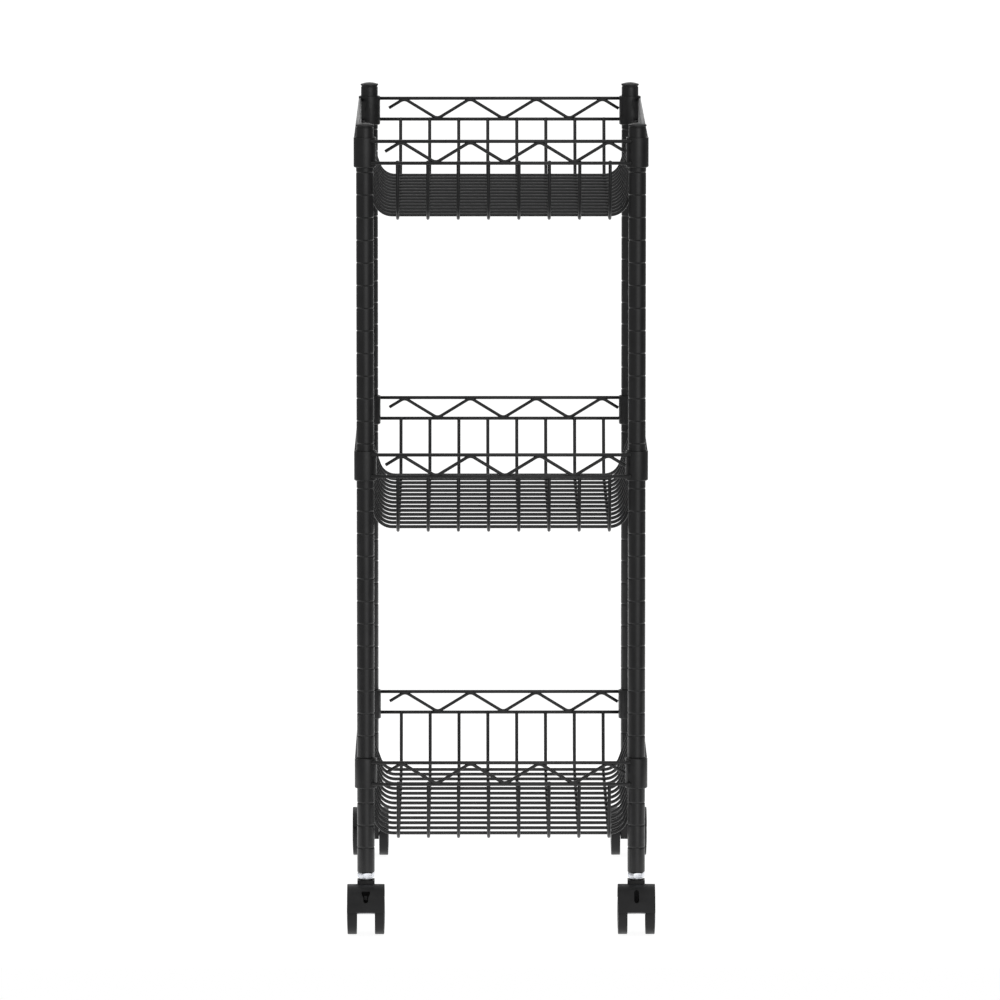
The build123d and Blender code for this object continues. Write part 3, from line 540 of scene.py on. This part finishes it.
def make_caps():
    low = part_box("post_caps")[0]
    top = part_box("post_front_left")[1].z
    flange_low = CAP_NECK_HEIGHT
    flange_high = flange_low + CAP_FLANGE_HEIGHT
    soft = CAP_SOFT_EDGE
    bore = POST_RADIUS - POST_WALL
    plug = low.z - top
    profile = [(0, 0), (CAP_PLUG_BORE, 0), (CAP_PLUG_BORE, plug),
               (bore - CAP_PLUG_TAPER, plug), (bore, plug + CAP_PLUG_LEAD), (bore, 0),
               (CAP_NECK_RADIUS, 0), (CAP_NECK_RADIUS, 0.5 * flange_low)]
    profile += [(CAP_NECK_RADIUS + 0.1 * MM, 0.85 * flange_low)]
    profile += arc_points((CAP_FLANGE_RADIUS - soft, flange_low + soft), soft, -80, 0, 5)
    profile += arc_points((CAP_FLANGE_RADIUS - soft, flange_high - soft * 0.6), soft, 0, 55, 4)
    profile += dome_profile(CAP_FLANGE_RADIUS - 0.75 * soft, flange_high - 0.02 * MM,
                            CAP_DOME + 0.02 * MM, 8)
    bm = bmesh.new()
    for x, y in post_axes():
        lathe(bm, profile, (x, y, top), (0, 0, 1), 48)
    mesh = finish_mesh(bm, "visual_caps", SHARP_ANGLE)
    add_piece("domed_post_caps", mesh, "frame", MATERIALS["cap_plastic"],
              ["post_caps"])


def row(count, low, high):
    return [low + (high - low) * index / (count - 1) for index in range(count)]


def u_corners(half_span, rail_z, floor_z):
    """Half outline of a bent wire: (distance from the middle, height) of tip and corner."""
    stand_off = (RAIL_RADIUS + WIRE_RADIUS) / math.cos(WALL_SLOPE)
    at_rail = half_span - stand_off
    tip = at_rail + WIRE_TIP_RISE * math.tan(WALL_SLOPE)
    corner = at_rail - (rail_z - floor_z) * math.tan(WALL_SLOPE)
    return tip, corner


def truss_corners(first, half_waves, tails):
    """Zigzag corners as (distance along, height about the middle)."""
    slope = math.tan(TRUSS_SLOPE)
    high = TRUSS_PITCH / 2 * slope / 2
    found = [(first - tails[0], high - tails[0] * slope)]
    for index in range(half_waves + 1):
        found.append((first + index * TRUSS_PITCH / 2, high if index % 2 == 0 else -high))
    found.append((found[-1][0] + tails[1], high - tails[1] * slope))
    return found


def add_weld(bm, place, direction, radii, segments, rings):
    """A melted bead: an ellipsoid with its third radius along a direction."""
    made = bmesh.ops.create_uvsphere(bm, u_segments=segments, v_segments=rings, radius=1.0)
    turn = Vector((0, 0, 1)).rotation_difference(Vector(direction)).to_matrix().to_4x4()
    scale = Matrix.Diagonal((*radii, 1))
    bmesh.ops.transform(bm, matrix=Matrix.Translation(place) @ turn @ scale,
                        verts=made["verts"])


def spot_weld(bm, place, normal):
    """A low bead where two wires cross."""
    add_weld(bm, place, normal, SPOT_WELD, 12, 8)


def end_weld(bm, place, along):
    """A bead round the end of a rail, where it meets its collar."""
    add_weld(bm, place, along, END_WELD, 14, 10)


def make_basket(level):
    """Wires, rails, zigzags, welds and collars of one basket."""
    prefix = f"basket_{level}_"
    coating = MATERIALS["wire_coating"]
    rails_low, rails_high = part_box(prefix + "top_rails")
    rail_z = (rails_low.z + rails_high.z) / 2
    rail_x = rails_high.x - RAIL_RADIUS
    rail_y = rails_high.y - RAIL_RADIUS
    lower_z = rail_z - RAIL_DROP
    cross_z = rail_z - FLOOR_DROP
    long_z = cross_z - 2 * WIRE_RADIUS
    posts = post_axes()
    post_x = max(p[0] for p in posts)
    post_y = max(p[1] for p in posts)
    end_reach = post_x - RAIL_END_GAP
    side_reach = post_y - RAIL_END_GAP

    for part, z in (("top_rails", rail_z), ("lower_rails", lower_z)):
        bm = bmesh.new()
        for side in (-1, 1):
            add_tube(bm, [(-end_reach, side * rail_y, z), (0, side * rail_y, z),
                          (end_reach, side * rail_y, z)], RAIL_RADIUS)
            add_tube(bm, [(side * rail_x, -side_reach, z), (side * rail_x, 0, z),
                          (side * rail_x, side_reach, z)], RAIL_RADIUS)
        mesh = finish_mesh(bm, prefix + part, SHARP_ANGLE)
        add_piece(f"{prefix}{part}_wire", mesh, "frame", coating, [prefix + part])

    low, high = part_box(prefix + "long_wires")
    bm = bmesh.new()
    tip, corner = u_corners(rail_y, lower_z, long_z)
    long_x = row(LONG_WIRES, low.x + WIRE_RADIUS, high.x - WIRE_RADIUS)
    for x in long_x:
        add_tube(bm, rounded_path([(x, -tip, lower_z + WIRE_TIP_RISE), (x, -corner, long_z),
                                   (x, corner, long_z), (x, tip, lower_z + WIRE_TIP_RISE)],
                                  WIRE_BEND), WIRE_RADIUS)
    mesh = finish_mesh(bm, prefix + "long_wires", SHARP_ANGLE)
    add_piece(prefix + "long_floor_wires", mesh, "frame", coating,
              [prefix + "long_wires"])

    low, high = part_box(prefix + "cross_wires")
    bm = bmesh.new()
    tip, corner = u_corners(rail_x, lower_z, cross_z)
    cross_y = row(CROSS_WIRES, low.y + WIRE_RADIUS, high.y - WIRE_RADIUS)
    for y in cross_y:
        add_tube(bm, rounded_path([(-tip, y, lower_z + WIRE_TIP_RISE), (-corner, y, cross_z),
                                   (corner, y, cross_z), (tip, y, lower_z + WIRE_TIP_RISE)],
                                  WIRE_BEND), WIRE_RADIUS)
    mesh = finish_mesh(bm, prefix + "cross_wires", SHARP_ANGLE)
    add_piece(prefix + "cross_floor_wires", mesh, "frame", coating,
              [prefix + "cross_wires"])

    bm = bmesh.new()
    middle_z = rail_z - RAIL_DROP / 2
    end_corners = truss_corners(END_TRUSS_FIRST, END_TRUSS_HALF_WAVES, END_TRUSS_TAILS)
    side_first = -SIDE_TRUSS_HALF_WAVES * TRUSS_PITCH / 4
    side_corners = truss_corners(side_first, SIDE_TRUSS_HALF_WAVES, SIDE_TRUSS_TAILS)
    for side in (-1, 1):
        add_tube(bm, rounded_path([(a, side * rail_y, middle_z + h) for a, h in end_corners],
                                  TRUSS_BEND), TRUSS_RADIUS)
        add_tube(bm, rounded_path([(side * rail_x, a, middle_z + h) for a, h in side_corners],
                                  TRUSS_BEND), TRUSS_RADIUS)
    mesh = finish_mesh(bm, prefix + "trusses", SHARP_ANGLE)
    add_piece(prefix + "zigzags", mesh, "frame", coating, [prefix + "trusses"])

    bm = bmesh.new()
    for x in long_x:
        for y in cross_y:
            spot_weld(bm, (x, y, cross_z - WIRE_RADIUS), (0, 0, 1))
    lean = Vector((math.cos(WALL_SLOPE), 0, -math.sin(WALL_SLOPE)))
    for side in (-1, 1):
        for x in long_x:
            normal = Vector((0, side * lean.x, lean.z))
            place = Vector((x, side * rail_y, lower_z)) - normal * RAIL_RADIUS
            spot_weld(bm, place, normal)
        for y in cross_y:
            normal = Vector((side * lean.x, 0, lean.z))
            place = Vector((side * rail_x, y, lower_z)) - normal * RAIL_RADIUS
            spot_weld(bm, place, normal)
    for side in (-1, 1):
        for z in (rail_z, lower_z):
            for end in (-1, 1):
                end_weld(bm, (end * (post_x - WELD_REACH), side * (rail_y - END_WELD_INSET), z),
                         (1, 0, 0))
                end_weld(bm, (side * (rail_x - END_WELD_INSET), end * (post_y - WELD_REACH), z),
                         (0, 1, 0))
    mesh = finish_mesh(bm, prefix + "welds")
    add_piece(prefix + "spot_welds", mesh, "frame", coating)
    make_collars(level, rail_z)


def collar_profile():
    """Section of a collar about its post, from the rail's height."""
    foot = -COLLAR_DROP
    head = COLLAR_RISE
    bore_foot = COLLAR_BORE + COLLAR_BORE_FLARE
    lead = COLLAR_LEAD
    profile = [(bore_foot, foot + lead), (bore_foot + 0.1 * MM, foot)]
    profile += arc_points((COLLAR_RADIUS - COLLAR_FOOT_ROUND, foot + COLLAR_FOOT_ROUND),
                          COLLAR_FOOT_ROUND, -80, 0, 7)
    profile += arc_points((COLLAR_RADIUS - COLLAR_HEAD_ROUND, head - COLLAR_HEAD_ROUND),
                          COLLAR_HEAD_ROUND, 0, 90, 4)
    profile += [(COLLAR_BORE + lead, head), (COLLAR_BORE, head - lead)]
    profile.append(profile[0])
    return profile


def make_collars(level, rail_z):
    """The collars of one basket, a pair at each end."""
    profile = collar_profile()
    for end in ("front", "rear"):
        bm = bmesh.new()
        for side in ("left", "right"):
            x, y = node_centre(f"post_{end}_{side}").xy
            lathe(bm, profile, (x, y, rail_z), (0, 0, 1), POST_SIDES)
        bmesh.ops.remove_doubles(bm, verts=bm.verts, dist=1e-7)
        mesh = finish_mesh(bm, f"collars_{level}_{end}", SHARP_ANGLE)
        add_piece(f"basket_{level}_{end}_welded_collars", mesh, "frame",
                  MATERIALS["collar_coating"], [f"basket_{level}_{end}_collars"])


def wheel_profile():
    """Half section of a wheel as (radius, distance outwards from its inner face)."""
    edge = WHEEL_EDGE_ROUND
    small = WHEEL_SMALL_ROUND
    disc = WHEEL_RIM - WHEEL_DISC_INSET
    bore = WHEEL_BORE_RADIUS
    lead = WHEEL_BORE_LEAD
    profile = [(0, disc - small), (bore, disc - small), (bore, lead), (bore + lead, 0)]
    profile += [(WHEEL_HUB_RADIUS - small, 0), (WHEEL_HUB_RADIUS, small)]
    profile += [(WHEEL_HUB_RADIUS + 0.1 * MM, disc - small), (WHEEL_HUB_RADIUS + small, disc)]
    profile += [(WHEEL_RIM_INNER - small, disc), (WHEEL_RIM_INNER, disc - small)]
    profile += [(WHEEL_RIM_INNER, small), (WHEEL_RIM_INNER + small, 0)]
    profile += arc_points((WHEEL_RADIUS - edge, edge), edge, -90, 0, 6)
    profile += arc_points((WHEEL_RADIUS - edge, WHEEL_RIM - edge), edge, 0, 90, 6)
    dome = dome_profile(WHEEL_RADIUS - edge, WHEEL_RIM, WHEEL_CROWN, 24)[1:]
    for radius, along in dome:
        near = abs(radius - WHEEL_GROOVE_RADIUS) / WHEEL_GROOVE_HALF
        dip = WHEEL_GROOVE_DEPTH * max(0.0, 1 - near ** 2)
        profile.append((radius, along - dip))
    return profile


def make_wheels():
    profile = wheel_profile()
    rib_length = WHEEL_RIM_INNER - WHEEL_HUB_RADIUS + 2 * WHEEL_RIB_BITE
    rib_place = WHEEL_RIM - WHEEL_DISC_INSET - WHEEL_RIB_BEHIND_DISC
    for corner in CORNERS:
        for name in ("outer", "inner"):
            node = f"wheel_{corner}_{name}"
            low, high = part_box(node)
            housing = node_centre(f"caster_housing_{corner}")
            middle = (low + high) / 2
            side = 1 if middle.x > housing.x else -1
            inner_face = low.x if side > 0 else high.x
            centre = Vector((inner_face, middle.y, middle.z))
            bm = bmesh.new()
            lathe(bm, profile, centre, (side, 0, 0), WHEEL_SIDES)
            for index in range(WHEEL_RIBS):
                made = bmesh.ops.create_cube(bm, size=1.0)
                scale = Matrix.Diagonal((WHEEL_RIB_DEPTH, rib_length, WHEEL_RIB_THICKNESS, 1))
                local = Matrix.Translation(
                    (rib_place * side, WHEEL_HUB_RADIUS - WHEEL_RIB_BITE + rib_length / 2, 0))
                degrees = 360 / WHEEL_RIBS * index + WHEEL_RIB_TURN
                turn = Matrix.Rotation(math.radians(degrees), 4, "X")
                bmesh.ops.transform(bm, verts=made["verts"],
                                    matrix=Matrix.Translation(centre) @ turn @ local @ scale)
            mesh = finish_mesh(bm, "visual_" + node, SOFT_ANGLE)
            add_piece("moulded_" + node, mesh, node, MATERIALS["wheel_nylon"],
                      [node])


# ================================================================ stage
def make_camera():
    """A long lens a little above the cart, looking along +Y."""
    data = bpy.data.cameras.new("camera")
    data.lens = CAMERA_LENS
    data.sensor_width = CAMERA_SENSOR
    data.clip_end = 100.0
    camera = bpy.data.objects.new("camera", data)
    camera.location = CAMERA_PLACE
    camera.rotation_euler = Euler(
        (math.radians(90 - CAMERA_PITCH), 0, math.radians(CAMERA_YAW)))
    bpy.context.scene.collection.objects.link(camera)
    bpy.context.scene.camera = camera


def make_floor():
    """A plain white floor under and behind the cart that keeps only a faint shadow."""
    mesh = bpy.data.meshes.new("floor")
    corners = [(FLOOR_X[0], FLOOR_Y[0], 0), (FLOOR_X[1], FLOOR_Y[0], 0),
               (FLOOR_X[1], FLOOR_Y[1], 0), (FLOOR_X[0], FLOOR_Y[1], 0)]
    mesh.from_pydata(corners, [], [(0, 1, 2, 3)])
    floor = bpy.data.objects.new("floor", mesh)
    bpy.context.scene.collection.objects.link(floor)
    material, _, shader = new_material("floor")
    shader.inputs["Base Color"].default_value = (FLOOR_SHADE, FLOOR_SHADE, FLOOR_SHADE, 1)
    shader.inputs["Roughness"].default_value = 0.9
    shader.inputs["Specular IOR Level"].default_value = 0.0
    shader.inputs["Emission Color"].default_value = (1, 1, 1, 1)
    shader.inputs["Emission Strength"].default_value = FLOOR_GLOW
    floor.data.materials.append(material)


def lobe(tree, angle, centre, width, height):
    """A soft bump of brightness about one direction."""
    offset = combine(tree, angle, centre, "SUBTRACT")
    scaled = combine(tree, offset, width, "DIVIDE")
    squared = combine(tree, scaled, scaled, "MULTIPLY")
    falloff = combine(tree, math.e, combine(tree, squared, -1.0, "MULTIPLY"), "POWER")
    return combine(tree, falloff, height, "MULTIPLY")


def make_world():
    """A white backdrop, and dim surroundings with one broad soft light to the right."""
    world = bpy.data.worlds.new("studio")
    bpy.context.scene.world = world
    world.use_nodes = True
    tree = world.node_tree
    back = tree.nodes["Background"]
    back.inputs["Color"].default_value = (1, 1, 1, 1)
    place = tree.nodes.new("ShaderNodeTexCoord")
    split = tree.nodes.new("ShaderNodeSeparateXYZ")
    tree.links.new(place.outputs["Generated"], split.inputs["Vector"])
    forward = combine(tree, split.outputs["Y"], -1.0, "MULTIPLY")
    around = combine(tree, split.outputs["X"], forward, "ARCTAN2")
    behind = spread(tree, split.outputs["Y"], 0, 1, *BACK_EDGE)
    level = combine(tree, BACK_GLOW - FRONT_GLOW, behind, "MULTIPLY")
    level = combine(tree, level, FRONT_GLOW, "ADD")
    key = lobe(tree, around, KEY_AZIMUTH, KEY_WIDTH, KEY_GLOW)
    upright = lobe(tree, split.outputs["Z"], KEY_HEIGHT, KEY_SPREAD, 1.0)
    level = combine(tree, level, combine(tree, key, upright, "MULTIPLY"), "ADD")
    side = lobe(tree, around, FILL_AZIMUTH, FILL_WIDTH, FILL_GLOW)
    level = combine(tree, level, side, "ADD")
    sky = spread(tree, split.outputs["Z"], 0, TOP_GLOW, *SKY_RANGE)
    level = combine(tree, level, sky, "ADD")
    seen = tree.nodes.new("ShaderNodeLightPath")
    choose = tree.nodes.new("ShaderNodeMix")
    choose.data_type = "FLOAT"
    choose.inputs["B"].default_value = 1.0
    tree.links.new(seen.outputs["Is Camera Ray"], choose.inputs["Factor"])
    tree.links.new(level, choose.inputs["A"])
    tree.links.new(choose.outputs["Result"], back.inputs["Strength"])


def make_panel():
    """A tall soft panel behind the cart that rims its round parts."""
    data = bpy.data.lights.new("panel", "AREA")
    data.shape = "RECTANGLE"
    data.size = PANEL_WIDTH
    data.size_y = PANEL_HEIGHT
    data.energy = PANEL_POWER
    panel = bpy.data.objects.new("panel", data)
    panel.location = PANEL_PLACE
    panel.rotation_euler = Euler((math.radians(-90), 0, 0))
    panel.visible_camera = False
    bpy.context.scene.collection.objects.link(panel)


finish_cad_nodes()
make_posts()
make_caps()
for basket_level in LEVELS:
    make_basket(basket_level)
make_wheels()
for caster_corner in CORNERS:
    refined("caster_housing_" + caster_corner, "moulded_housing_" + caster_corner,
            "caster_" + caster_corner, "caster_nylon", HOUSING_EDGE)
for braked_corner in ("front_left", "rear_right"):
    refined("brake_lever_" + braked_corner, "moulded_lever_" + braked_corner,
            "brake_lever_" + braked_corner, "brake_nylon", LEVER_EDGE)
refined("lock_nuts", "rounded_lock_nuts", "frame", "zinc_plate", NUT_EDGE)
make_camera()
make_floor()
make_world()
make_panel()
bpy.context.scene.view_settings.view_transform = "Standard"
